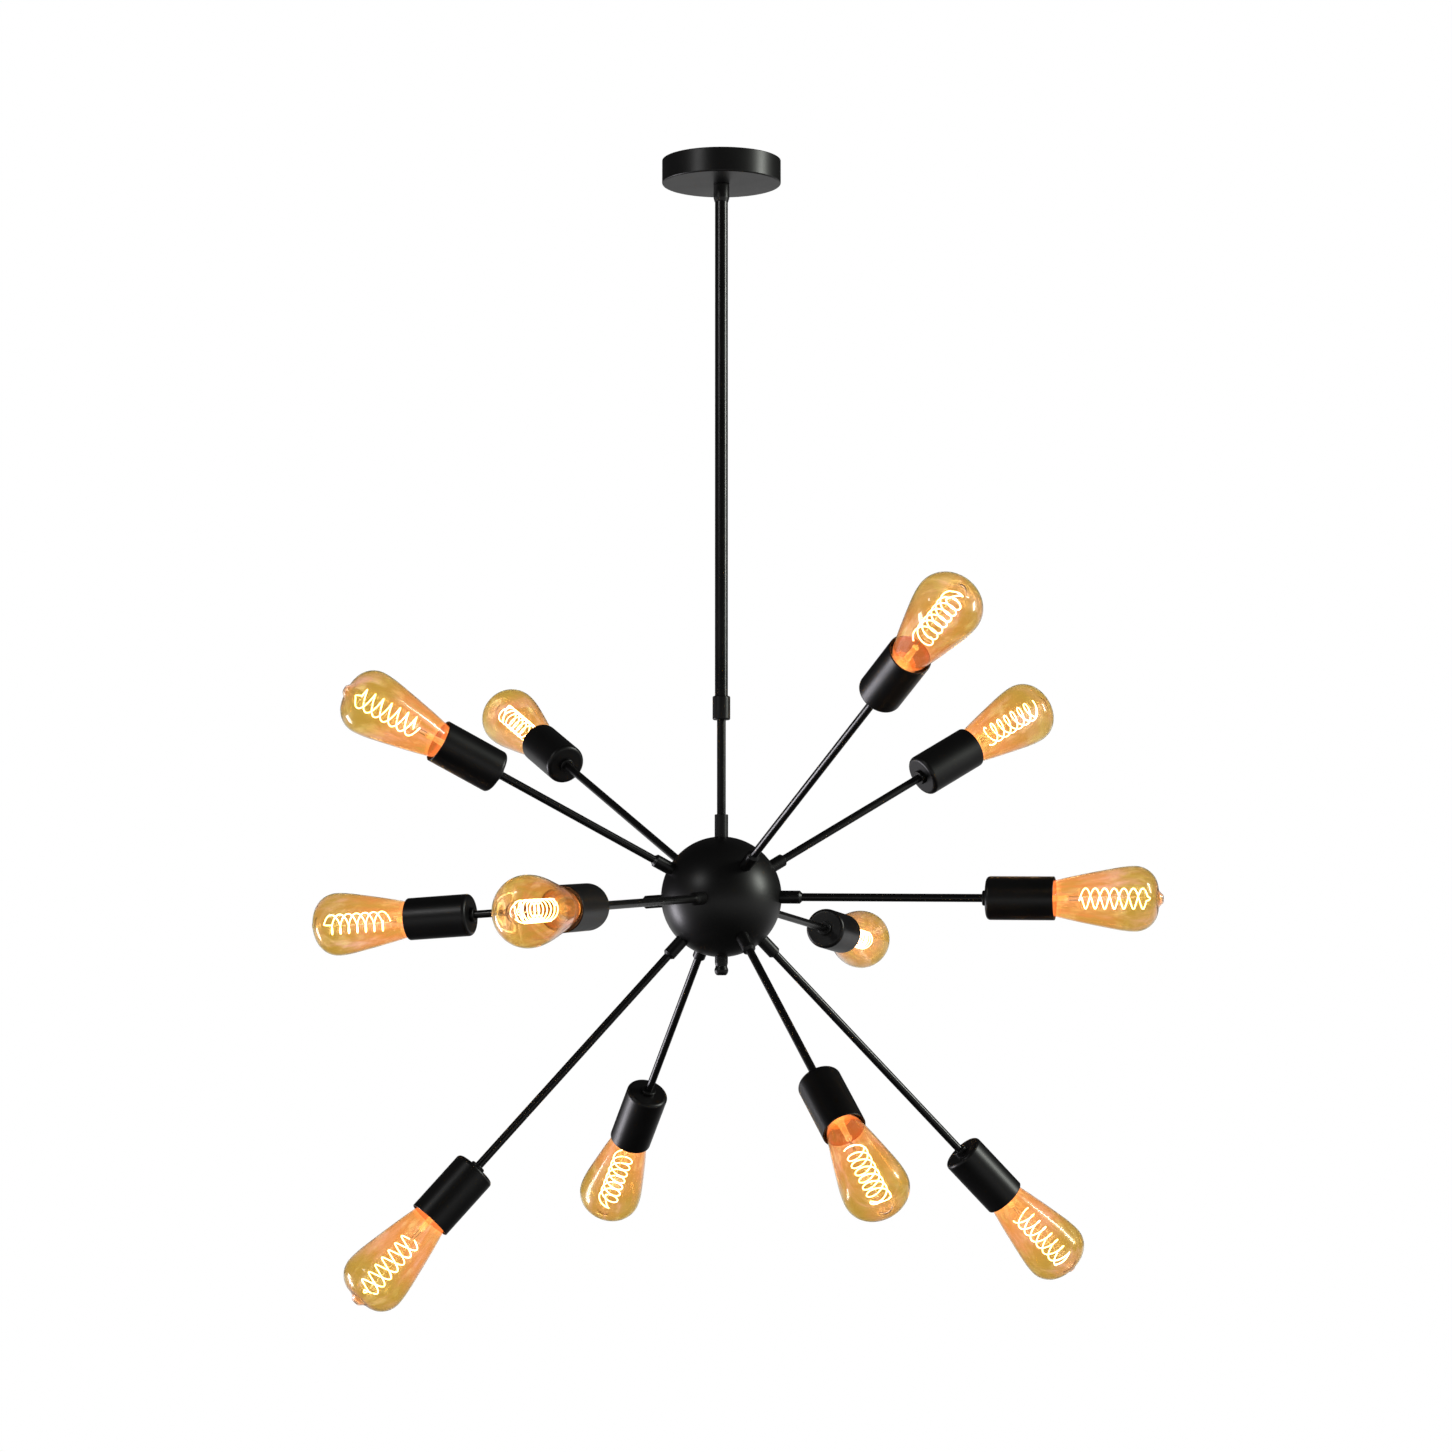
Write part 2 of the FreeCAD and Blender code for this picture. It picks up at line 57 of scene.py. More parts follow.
# azimuth from +X towards +Y, elevation, and which rod, in the order of the arm rods
armsByTier = {
    "upper": [
        (203.5, 26.1, "shortArm"),
        (120.3, 24.8, "longArm"),
        (297.1, 28.7, "longArm"),
        (28.0, 28.8, "shortArm"),
    ],
    "middle": [
        (163.5, -3.3, "shortArm"),
        (250.8, -3.6, "longArm"),
        (349.3, -0.7, "shortArm"),
        (72.1, -3.2, "longArm"),
    ],
    "lower": [
        (196.9, -47.0, "longArm"),
        (115.1, -47.5, "shortArm"),
        (298.3, -43.0, "shortArm"),
        (21.1, -44.3, "longArm"),
    ],
}
tierNames = list(armsByTier)
allArms = [arm for tier in tierNames for arm in armsByTier[tier]]


def armWay(arm):
    # unit vector from the middle of the ball along an arm
    azimuth, elevation = math.radians(arm[0]), math.radians(arm[1])
    level = math.cos(elevation)
    return Vector((level * math.cos(azimuth), level * math.sin(azimuth), math.sin(elevation)))


def armTurn(arm):
    # turns Z onto the arm
    return armWay(arm).to_track_quat("Z", "Y").to_euler()


camera = {
    "place": (0.0046, -3.750, -0.895),
    "pitch": 4.885,          # degrees above the horizontal
    "lens": 93.44,           # mm on a square frame as wide as the sensor
    "sensor": 36,
}


def makeCamera():
    data = bpy.data.cameras.new("photoCamera")
    data.sensor_width = camera["sensor"]
    data.lens = camera["lens"]
    data.clip_end = 100
    obj = bpy.data.objects.new("photoCamera", data)
    obj.location = camera["place"]
    obj.rotation_euler = (math.radians(90 + camera["pitch"]), 0, 0)
    bpy.context.collection.objects.link(obj)
    bpy.context.scene.camera = obj


makeCamera()
print("camera placed")


class Value:
    # what a node gives, which can stand in a sum where it is a number
    def __init__(self, paint, socket):
        self.paint = paint
        self.socket = socket

    def maths(self, operation, other, swapped=False):
        first, second = (other, self) if swapped else (self, other)
        return self.paint.node("ShaderNodeMath", {"operation": operation}, {0: first, 1: second})

    def __add__(self, other):
        return self.maths("ADD", other)

    def __mul__(self, other):
        return self.maths("MULTIPLY", other)

    def __sub__(self, other):
        return self.maths("SUBTRACT", other)

    def __rsub__(self, other):
        return self.maths("SUBTRACT", other, True)

    def __pow__(self, other):
        return self.maths("POWER", other)

    __radd__ = __add__
    __rmul__ = __mul__

    def clamped(self):
        return self.paint.node("ShaderNodeClamp", {}, {"Value": self})


class Paint:
    # one material, or the room's light, and the nodes that make it
    def __init__(self, name, tree=None):
        if tree is None:
            self.material = bpy.data.materials.new(name)
            self.material.use_nodes = True
        self.tree = tree or self.material.node_tree
        self.tree.nodes.clear()
        self.output = self.tree.nodes.new("ShaderNodeOutputWorld" if tree else "ShaderNodeOutputMaterial")

    def node(self, kind, settings=None, sockets=None, out=0):
        made = self.tree.nodes.new(kind)
        for name, value in (settings or {}).items():
            if name == "stops":
                ramp = made.color_ramp
                while len(ramp.elements) < len(value):
                    ramp.elements.new(0.5)
                for element, (place, colour) in zip(ramp.elements, value):
                    element.position = place
                    element.color = (*colour, 1)
            else:
                setattr(made, name, value)
        for name, value in (sockets or {}).items():
            socket = made.inputs[name]
            if isinstance(value, Value):
                self.tree.links.new(value.socket, socket)
            else:
                socket.default_value = (*value, 1) if socket.type == "RGBA" else value
        return Value(self, made.outputs[out])

    def place(self):
        return self.node("ShaderNodeTexCoord", out="Object")

    def along(self, axis):
        # the piece's own UV map: X round the turned form, Y along its outline
        uv = self.node("ShaderNodeUVMap", {"uv_map": "turned"})
        return self.node("ShaderNodeSeparateXYZ", {}, {0: uv}, out=axis)

    def roundabout(self):
        # goes smoothly up and down round a turned form, so that a pattern has no seam
        return self.node("ShaderNodeMath", {"operation": "SINE"}, {0: self.along("X") * (2 * math.pi)})

    def whereabouts(self):
        # differs from one place on the object to the next
        return self.distance() * 3.0

    def distance(self):
        # how far a place is from the piece's own origin
        return self.node("ShaderNodeVectorMath", {"operation": "LENGTH"}, {0: self.place()}, out="Value")

    def noise(self, scale, detail, roughness):
        return self.node("ShaderNodeTexNoise", {}, {
            "Vector": self.place(), "Scale": scale, "Detail": detail, "Roughness": roughness})

    def ramp(self, value, *stops):
        return self.node("ShaderNodeValToRGB", {"stops": stops}, {0: value})

    def spread(self, value, low, high, toLow=0.0, toHigh=1.0):
        return self.node("ShaderNodeMapRange", {}, {
            "Value": value, "From Min": low, "From Max": high, "To Min": toLow, "To Max": toHigh})

    def mixed(self, factor, first, second):
        # a colour between two; the node's colour sockets are its seventh and eighth
        return self.node("ShaderNodeMix", {"data_type": "RGBA"}, {0: factor, 6: first, 7: second}, out=2)

    def bump(self, height, strength, distance):
        return self.node("ShaderNodeBump", {}, {"Height": height, "Strength": strength, "Distance": distance})

    def surface(self, **sockets):
        named = {name.replace("_", " "): value for name, value in sockets.items()}
        self.show(self.node("ShaderNodeBsdfPrincipled", {}, named))
        return self.material

    def show(self, shader):
        self.tree.links.new(shader.socket, self.output.inputs["Surface"])


blackLook = {
    "colour": (0.0022, 0.0020, 0.0022),
    "lighter": (0.0042, 0.0039, 0.0037),
    "roughness": (0.34, 0.42),
    "specular": 0.45,
    "grain": 850.0,          # powder texture, repeats per metre
    "grainDepth": 0.00006,
    "dust": (0.03, 0.029, 0.027),
}


def blackPaint(name, shine=0.0):
    # satin powder coat: fine orange peel, cloudy gloss and a few specks of dust
    p = Paint(name)
    cloud = p.noise(9.0, detail=4.0, roughness=0.6)
    grain = p.noise(blackLook["grain"], detail=1.5, roughness=0.4)
    dust = p.spread(p.noise(420.0, detail=3.0, roughness=0.7), 0.70, 0.78)
    base = p.mixed(p.spread(cloud, 0.35, 0.7), blackLook["colour"], blackLook["lighter"])
    base = p.mixed(dust * 0.2, base, blackLook["dust"])
    low, high = (value - shine for value in blackLook["roughness"])
    rough = p.spread(cloud + grain * 0.3, 0.4, 0.9, low, high) + dust * 0.1
    normal = p.bump(grain, 0.35, blackLook["grainDepth"])
    return p.surface(Base_Color=base, Roughness=rough, Normal=normal,
                     Specular_IOR_Level=blackLook["specular"])


cupLook = {
    "colour": (0.0020, 0.0018, 0.0020),
    "lighter": (0.0040, 0.0036, 0.0035),
    "roughness": (0.32, 0.42),
    "specular": 0.45,
    "grain": 1100.0,
    "turning": 260.0,        # how close the turning marks are along the cup's outline
    "grainDepth": 0.00004,
}


def cupPaint():
    # the cups are smoother, with faint turning marks round them
    p = Paint("cupPaint")
    cloud = p.noise(14.0, detail=3.0, roughness=0.55)
    lines = p.node("ShaderNodeTexNoise", {"noise_dimensions": "1D"}, {
        "W": p.along("Y") * cupLook["turning"], "Scale": 1.0, "Detail": 2.0})
    grain = p.noise(cupLook["grain"], detail=1.0, roughness=0.4)
    base = p.mixed(p.spread(cloud, 0.35, 0.7), cupLook["colour"], cupLook["lighter"])
    rough = p.spread(cloud + lines * 0.25, 0.35, 0.9, *cupLook["roughness"])
    normal = p.bump(grain * 0.6 + lines * 0.4, 0.3, cupLook["grainDepth"])
    return p.surface(Base_Color=base, Roughness=rough, Normal=normal,
                     Specular_IOR_Level=cupLook["specular"])


def metal(name, colour, darker, roughness):
    # plated or bare metal, a little tarnished in patches, with a fine grain
    p = Paint(name)
    cloud = p.noise(32.5, detail=4.0, roughness=0.6)
    grain = p.noise(1040.0, detail=2.0, roughness=0.5)
    base = p.mixed(p.spread(cloud, 0.35, 0.65), darker, colour)
    rough = p.spread(cloud + grain * 0.4, 0.4, 1.0, roughness + 0.1, roughness - 0.04)
    return p.surface(Base_Color=base, Roughness=rough, Metallic=1.0, Normal=p.bump(grain, 0.2, 0.00003))


def moulded(name, colour, lighter, roughness):
    # smooth plastic, rubber or paint, slightly cloudy, with a fine grain
    p = Paint(name)
    cloud = p.noise(60.0, detail=3.0, roughness=0.6)
    grain = p.noise(1500.0, detail=1.0, roughness=0.5)
    base = p.mixed(p.spread(cloud, 0.35, 0.7), colour, lighter)
    rough = p.spread(cloud, 0.3, 0.7, roughness, roughness + 0.12)
    return p.surface(Base_Color=base, Roughness=rough, Normal=p.bump(grain, 0.15, 0.00003))


amber = {
    "neck": (0.92, 0.57, 0.30),      # tints from the neck to the tip
    "body": (0.82, 0.51, 0.25),
    "dome": (0.70, 0.54, 0.21),
    "tip": (0.90, 0.54, 0.34),
    "edge": (0.28, 0.21, 0.12),      # painted shade, laid on where the glass is seen at a glancing angle
    "lilac": (0.93, 0.68, 0.60),     # bands in the coating
    "olive": (0.66, 0.56, 0.20),
    "pale": (0.98, 0.88, 0.58),
    "roughness": 0.015,
    "ior": 1.25,
    "gloss": 0.45,                   # share of the soft shine over the clear one
    "glossRoughness": 0.26,
    # strength of the painted glow that stands in for the filament's light on the glass
    "glow": 0.35,
    "paintedGlowRamp": [                      # painted glow: emission standing in for the filament's light in the glass, from the neck's foot to the tip, brightest in a ring at the cup's mouth
        (0.0, (0.60, 0.20, 0.08)),
        (0.148, (0.85, 0.28, 0.10)),
        (0.158, (1.0, 0.26, 0.07)),
        (0.180, (1.0, 0.22, 0.06)),
        (0.205, (0.22, 0.08, 0.02)),
        (0.75, (0.09, 0.045, 0.010)),
        (1.0, (0.03, 0.012, 0.003)),
    ],
}


def coatingBands(p, length, stretch, start):
    # cloudy bands round the bulb, with another start for each bulb and each set of bands
    where = p.node("ShaderNodeCombineXYZ", {}, {
        0: p.roundabout() * 1.6, 1: length * stretch, 2: p.whereabouts() + start})
    return p.node("ShaderNodeTexNoise", {}, {"Vector": where, "Scale": 1.7, "Detail": 3.0, "Roughness": 0.6})


def amberGlass():
    # tinted glass: orange on the cone and olive gold on the dome, with lilac, olive and pale bands, painted
    # shade at its outline and a painted glow from the filament
    p = Paint("amberGlass")
    length = p.along("Y")
    tint = p.ramp(length, (0.0, amber["neck"]), (0.20, amber["body"]), (0.55, amber["body"]),
                  (0.72, amber["dome"]), (0.93, amber["dome"]), (0.97, amber["tip"]))
    broad = coatingBands(p, length, 1.6, 0.0)
    narrow = coatingBands(p, length, 3.0, 5.0)
    tint = p.mixed(p.spread(broad, 0.52, 0.66, 0.0, 0.75), tint, amber["lilac"])
    tint = p.mixed(p.spread(broad, 0.46, 0.34, 0.0, 0.6), tint, amber["olive"])
    tint = p.mixed(p.spread(narrow, 0.55, 0.70, 0.0, 0.7), tint, amber["pale"])
    # painted shade: the tint darkens towards the outline as the glass turns away from view
    facing = p.node("ShaderNodeLayerWeight", {}, {"Blend": 0.5}, out="Facing")
    tint = p.mixed(p.spread(facing ** 4.0, 0.2, 1.0, 0.0, 0.9), tint, amber["edge"])
    # painted glow: the glass itself emits, in place of the filament's light falling on it
    paintedGlow = p.ramp(length, *amber["paintedGlowRamp"])
    normal = p.bump(p.noise(18.0, detail=1.0, roughness=0.4), 0.05, 0.002)
    return p.surface(Base_Color=tint, Roughness=amber["roughness"], IOR=amber["ior"],
                     Transmission_Weight=1.0, Normal=normal,
                     Coat_Weight=amber["gloss"], Coat_Roughness=amber["glossRoughness"],
                     Emission_Color=paintedGlow, Emission_Strength=amber["glow"])


clear = {
    "colour": (1.0, 0.93, 0.78),
    "deeper": (1.0, 0.85, 0.62),
    "roughness": 0.05,
    "ior": 1.5,
    # painted glow, standing in for the filament's light on the stem
    "paintedGlowColour": (1.0, 0.60, 0.28),
    "glow": 0.35,
}


def clearGlass():
    # the stem that carries the filament, with a painted glow in place of the filament's light on it
    p = Paint("clearGlass")
    seeds = p.noise(300.0, detail=2.0, roughness=0.5)
    tint = p.mixed(p.spread(seeds, 0.4, 0.7), clear["colour"], clear["deeper"])
    return p.surface(Base_Color=tint, Roughness=clear["roughness"], IOR=clear["ior"], Transmission_Weight=1.0,
                     Emission_Color=clear["paintedGlowColour"], Emission_Strength=clear["glow"])


hotWire = {
    "coating": (1.0, 0.8, 0.4),
    "colour": (1.0, 0.84, 0.55),
    "whiter": (1.0, 0.94, 0.78),
    "edge": (0.9, 0.42, 0.08),
    "strength": 12.0,
}


def glowing():
    # the coated filament, whitest along its middle
    p = Paint("filamentGlow")
    speck = p.noise(900.0, detail=2.0, roughness=0.6)
    colour = p.mixed(p.spread(speck, 0.35, 0.65), hotWire["colour"], hotWire["whiter"])
    facing = p.node("ShaderNodeLayerWeight", {}, {"Blend": 0.4}, out="Facing")
    colour = p.mixed(p.spread(facing, 0.45, 1.0, 0.0, 0.8), colour, hotWire["edge"])
    return p.surface(Base_Color=hotWire["coating"], Roughness=0.5,
                     Emission_Color=colour, Emission_Strength=hotWire["strength"])


finishes = {
    "black": blackPaint("blackPaint"),
    "rodBlack": blackPaint("rodPaint", 0.10),
    "cup": cupPaint(),
    "zinc": metal("zincPlate", (0.66, 0.67, 0.68), (0.50, 0.51, 0.53), 0.28),
    "darkScrew": metal("darkScrew", (0.10, 0.10, 0.11), (0.05, 0.05, 0.055), 0.35),
    "green": moulded("greenScrew", (0.03, 0.26, 0.09), (0.05, 0.34, 0.13), 0.35),
    "nylon": moulded("nylon", (0.78, 0.77, 0.72), (0.86, 0.85, 0.81), 0.42),
    "sheath": moulded("cableSheath", (0.03, 0.03, 0.03), (0.05, 0.05, 0.05), 0.55),
    "phenolic": moulded("phenolic", (0.03, 0.025, 0.022), (0.05, 0.042, 0.036), 0.40),
    "brass": metal("brass", (0.78, 0.60, 0.28), (0.62, 0.45, 0.19), 0.25),
    "vitrite": moulded("vitrite", (0.01, 0.01, 0.012), (0.02, 0.02, 0.024), 0.12),
    "solder": metal("solder", (0.62, 0.62, 0.62), (0.45, 0.45, 0.46), 0.35),
    "wire": metal("supportWire", (0.60, 0.56, 0.50), (0.45, 0.42, 0.38), 0.3),
    "amber": amberGlass(),
    "clear": clearGlass(),
    "glow": glowing(),
}
print("finishes made:", len(finishes))


def arcPoints(centre, radius, start, end, steps):
    # points of an outline's round stretch: 0 degrees points away from the axis and 90 up along it
    angles = [math.radians(start + (end - start) * k / steps) for k in range(steps + 1)]
    return [(centre[0] + radius * math.cos(angle), centre[1] + radius * math.sin(angle)) for angle in angles]


def turnedMesh(name, outline, segments, closed, shift=(0, 0, 0), byHeight=False):
    # turns an outline of (radius, height) about Z; its UV map runs round and along the outline or the axis
    same = 1e-7
    points = [point for k, point in enumerate(outline) if k == 0 or math.dist(point, outline[k - 1]) > same]
    if closed:
        points = points + points[:1]
    lengths = [0.0]
    for a, b in zip(points, points[1:]):
        lengths.append(lengths[-1] + math.dist(a, b))
    if byHeight:
        foot = min(height for _, height in points)
        lengths = [height - foot for _, height in points]
    longest = max(lengths)
    bm = bmesh.new()
    uv = bm.loops.layers.uv.new("turned")
    rings = []
    for k, (radius, height) in enumerate(points):
        if closed and k == len(points) - 1:
            rings.append(rings[0])
        elif radius < same:
            rings.append([bm.verts.new((0, 0, height))] * segments)
        else:
            rings.append([bm.verts.new((radius * math.cos(2 * math.pi * j / segments),
                                        radius * math.sin(2 * math.pi * j / segments), height))
                          for j in range(segments)])
    for k in range(len(points) - 1):
        low, high = rings[k], rings[k + 1]
        for j in range(segments):
            n = (j + 1) % segments
            corners = [(low[j], j, k), (low[n], j + 1, k), (high[n], j + 1, k + 1), (high[j], j, k + 1)]
            kept = []
            for corner in corners:
                if all(corner[0] is not other[0] for other in kept):
                    kept.append(corner)
            if len(kept) < 3:
                continue
            face = bm.faces.new([corner[0] for corner in kept])
            for loop, (vert, around, step) in zip(face.loops, kept):
                loop[uv].uv = (around / segments, lengths[step] / longest)
    bmesh.ops.recalc_face_normals(bm, faces=bm.faces)
    for face in bm.faces:
        face.smooth = True
    bmesh.ops.translate(bm, verts=bm.verts, vec=shift)
    mesh = bpy.data.meshes.new(name)
    bm.to_mesh(mesh)
    bm.free()
    mesh.set_sharp_from_angle(angle=math.radians(38))
    return mesh


def addObject(name, mesh, material):
    obj = bpy.data.objects.new(name, mesh)
    bpy.context.collection.objects.link(obj)
    mesh.materials.clear()
    mesh.materials.append(finishes[material])
    return obj


def standIn(obj, body, slot, *nodes):
    # the piece rides on its body and is shown in place of its solids
    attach(obj, body)
    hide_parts(*nodes)


def onStem(name, outline, material, body, slot, *nodes, segments, closed=True, drop=0.0):
    mesh = turnedMesh(name, outline, segments, closed, (0, 0, -drop))
    standIn(addObject(name, mesh, material), body, slot, *nodes)


def armPoints(name, arms, atBall):
    # a mesh of bare points, one for each arm, at the ball's middle or the cup's mouth, with the arm's turn
    mesh = bpy.data.meshes.new(name)
    places = []
    for arm in arms:
        reach = 0 if atBall else layout[arm[2]] + layout["cupLength"]
        places.append(ballMiddle + armWay(arm) * reach)
    mesh.from_pydata(places, [], [])
    turns = mesh.attributes.new("armTurn", "FLOAT_VECTOR", "POINT")
    for k, arm in enumerate(arms):
        turns.data[k].vector = armTurn(arm)
    return mesh


def repeatTree():
    # one form on each point, turned as the point's arm and spun a little further on each
    tree = bpy.data.node_groups.new("repeatOnArms", "GeometryNodeTree")
    kinds = {"Geometry": "Geometry", "Form": "Object", "Finish": "Material", "Spin": "Float"}
    for label, kind in kinds.items():
        tree.interface.new_socket(label, in_out="INPUT", socket_type="NodeSocket" + kind)
    tree.interface.new_socket("Geometry", in_out="OUTPUT", socket_type="NodeSocketGeometry")
    add, link = tree.nodes.new, tree.links.new
    source, result = add("NodeGroupInput"), add("NodeGroupOutput")
    turn = add("GeometryNodeInputNamedAttribute")
    turn.data_type = "FLOAT_VECTOR"
    turn.inputs["Name"].default_value = "armTurn"
    asTurn = add("FunctionNodeEulerToRotation")
    form = add("GeometryNodeObjectInfo")
    form.transform_space = "ORIGINAL"
    scatter = add("GeometryNodeInstanceOnPoints")
    number = add("GeometryNodeInputIndex")
    spin = add("ShaderNodeMath")
    spin.operation = "MULTIPLY"
    spinAxis = add("FunctionNodeAxisAngleToRotation")
    both = add("FunctionNodeRotateRotation")
    both.rotation_space = "LOCAL"
    real = add("GeometryNodeRealizeInstances")
    finish = add("GeometryNodeSetMaterial")
    link(source.outputs["Geometry"], scatter.inputs["Points"])
    link(source.outputs["Form"], form.inputs["Object"])
    link(form.outputs["Geometry"], scatter.inputs["Instance"])
    link(turn.outputs["Attribute"], asTurn.inputs["Euler"])
    link(number.outputs[0], spin.inputs[0])
    link(source.outputs["Spin"], spin.inputs[1])
    link(spin.outputs[0], spinAxis.inputs["Angle"])
    link(asTurn.outputs["Rotation"], both.inputs["Rotation"])
    link(spinAxis.outputs["Rotation"], both.inputs["Rotate By"])
    link(both.outputs["Rotation"], scatter.inputs["Rotation"])
    link(scatter.outputs["Instances"], real.inputs["Geometry"])
    link(real.outputs["Geometry"], finish.inputs["Geometry"])
    link(source.outputs["Finish"], finish.inputs["Material"])
    link(finish.outputs["Geometry"], result.inputs["Geometry"])
    return tree


armTree = repeatTree()


def inputName(tree, label):
    return next(item.identifier for item in tree.interface.items_tree
                if item.name == label and item.in_out == "INPUT")


def onArms(name, mesh, material, slot, arms, *nodes, atBall=False, spin=0.0):
    # one mesh with a copy of the form on each arm, from the ball's middle or with its zero at the cup's mouth
    form = addObject(name + "Form", mesh, material)
    carrier = bpy.data.objects.new(name + "Points", armPoints(name + "Points", arms, atBall))
    bpy.context.collection.objects.link(carrier)
    modifier = carrier.modifiers.new("repeat", "NODES")
    modifier.node_group = armTree
    modifier[inputName(armTree, "Form")] = form
    modifier[inputName(armTree, "Finish")] = finishes[material]
    modifier[inputName(armTree, "Spin")] = spin
    graph = bpy.context.evaluated_depsgraph_get()
    result = bpy.data.meshes.new_from_object(carrier.evaluated_get(graph))
    result.name = name
    obj = bpy.data.objects.new(name, result)
    bpy.context.collection.objects.link(obj)
    bpy.data.objects.remove(carrier)
    bpy.data.objects.remove(form)
    standIn(obj, "fixture", slot, *nodes)


def supported(points, ease=0.0004):
    # long straight runs get a point near each end, so that flats stay flat beside rounded edges
    result = [points[0]]
    for a, b in zip(points, points[1:]):
        run = math.dist(a, b)
        if run > 4 * ease:
            for share in (ease / run, 1 - ease / run):
                result.append((a[0] + (b[0] - a[0]) * share, a[1] + (b[1] - a[1]) * share))
        result.append(b)
    return result


def tubeOutline(outer, inner, low, high, edge=0.0003):
    # the section of a ring with slightly rounded ends
    return supported(
        [(inner, low + edge)] + [(inner + edge, low)]
        + arcPoints((outer - edge, low + edge), edge, -90, 0, 4)
        + arcPoints((outer - edge, high - edge), edge, 0, 90, 4)
        + [(inner + edge, high), (inner, high - edge), (inner, low + edge)])


canopy = {
    "radius": 0.060,
    "height": 0.025,
    "wall": 0.0012,
    "edge": 0.0016,
    "ceilingGap": 0.0005,
    "hole": 0.0068,
}
collar = {
    "radius": 0.008,
    "bore": 0.00655,
    "height": 0.018,
    "taper": 0.004,
    "footRadius": 0.007,
    "edge": 0.0004,
}
stem = {
    "upperRadius": 0.0065,
    "upperBore": 0.0052,
    "upperTop": -0.013,
    "upperFoot": -0.560,
    "collarRadius": 0.00885,
    "collarTop": -0.5445,
    "collarHeight": 0.024,
    "collarEdge": 0.0015,
    "lowerRadius": 0.0044,
    "lowerBore": 0.0032,
    "lipHeight": 0.001,      # the lip that rests on the guide bush
}


def makeCanopy():
    r, wall, edge, hole = canopy["radius"], canopy["wall"], canopy["edge"], canopy["hole"]
    under, rim = -canopy["height"], -canopy["ceilingGap"]
    inside = edge - wall
    outline = supported(
        [(hole, under)] + arcPoints((r - edge, under + edge), edge, -90, 0, 10)
        + arcPoints((r - wall / 2, rim - wall / 2), wall / 2, 0, 180, 8)
        + arcPoints((r - edge, under + edge), inside, 0, -90, 8)
        + [(hole, under + wall), (hole, under)])
    onStem("canopy", outline, "black", "canopy_body", "black_paint", "canopy", segments=160)


def makeCanopyCollar():
    r, bore, edge, top = collar["radius"], collar["bore"], collar["edge"], -canopy["height"]
    foot = top - collar["height"]
    outline = supported(
        [(bore, top)] + arcPoints((r - edge, top - edge), edge, 90, 0, 4)
        + [(r, foot + collar["taper"])]
        + arcPoints((collar["footRadius"] - edge, foot + edge), edge, 0, -90, 4)
        + [(bore, foot), (bore, top)])
    onStem("canopyCollar", outline, "black", "canopy_body", "black_paint", "canopy_collar", segments=96)


def makeStem():
    outline = tubeOutline(stem["upperRadius"], stem["upperBore"], stem["upperFoot"], stem["upperTop"])
    onStem("upperTube", outline, "rodBlack", "ceiling_mount", "black_paint", "upper_tube", segments=64)
    r, edge, top = stem["collarRadius"], stem["collarEdge"], stem["collarTop"]
    foot = top - stem["collarHeight"]
    snug, slip = (stem[tube] + layout["clearance"] for tube in ("upperRadius", "lowerRadius"))
    outline = supported(
        [(snug, top)] + arcPoints((r - edge, top - edge), edge, 90, 0, 8)
        + arcPoints((r - edge, foot + edge), edge, 0, -90, 8)
        + [(slip, foot), (slip, stem["upperFoot"]), (snug, stem["upperFoot"]), (snug, top)])
    onStem("tubeCollar", outline, "black", "ceiling_mount", "black_paint", "tube_collar", segments=96)
    low, high = (corner[2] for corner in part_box("lower_tube"))
    r, bore, lipFoot = stem["lowerRadius"], stem["lowerBore"], high - stem["lipHeight"]
    lip = (r + stem["upperBore"]) / 2
    outline = supported([(bore, low), (r, low), (r, lipFoot), (lip, lipFoot), (lip, high), (bore, high),
                         (bore, low)])
    onStem("lowerTube", outline, "rodBlack", "fixture", "black_paint", "lower_tube", segments=48)


makeCanopy()
makeCanopyCollar()
makeStem()
print("canopy and stem made")


ball = {
    "radius": 0.060,
    "wall": 0.003,
    "rodHole": 0.00405,
    "stemHole": 0.00445,
    "studHole": 0.00305,
    "drillLength": 0.02,
    "sleeveRadius": 0.00675,
    "sleeveTop": 0.082,      # from the ball's middle
    "sleeveEdge": 0.0006,
}
armSleeve = {"radius": 0.0065, "bore": 0.00405, "end": 0.0815, "chamfer": 0.0024}
finial = {
    "length": 0.018,         # below the ball
    "foot": 0.0036,          # radii
    "knob": 0.0069,
    "neck": 0.0058,
    "collar": 0.0065,
    "stud": 0.003,
    "knobAt": 0.0050,        # heights above the foot
    "neckAt": 0.0094,
    "collarAt": 0.0122,
    "studTop": 0.052,        # below the ball's middle
}


def onBall(radius):
    # height of the ball's surface at a distance from an axis through its middle
    return math.sqrt(ball["radius"] ** 2 - radius ** 2)


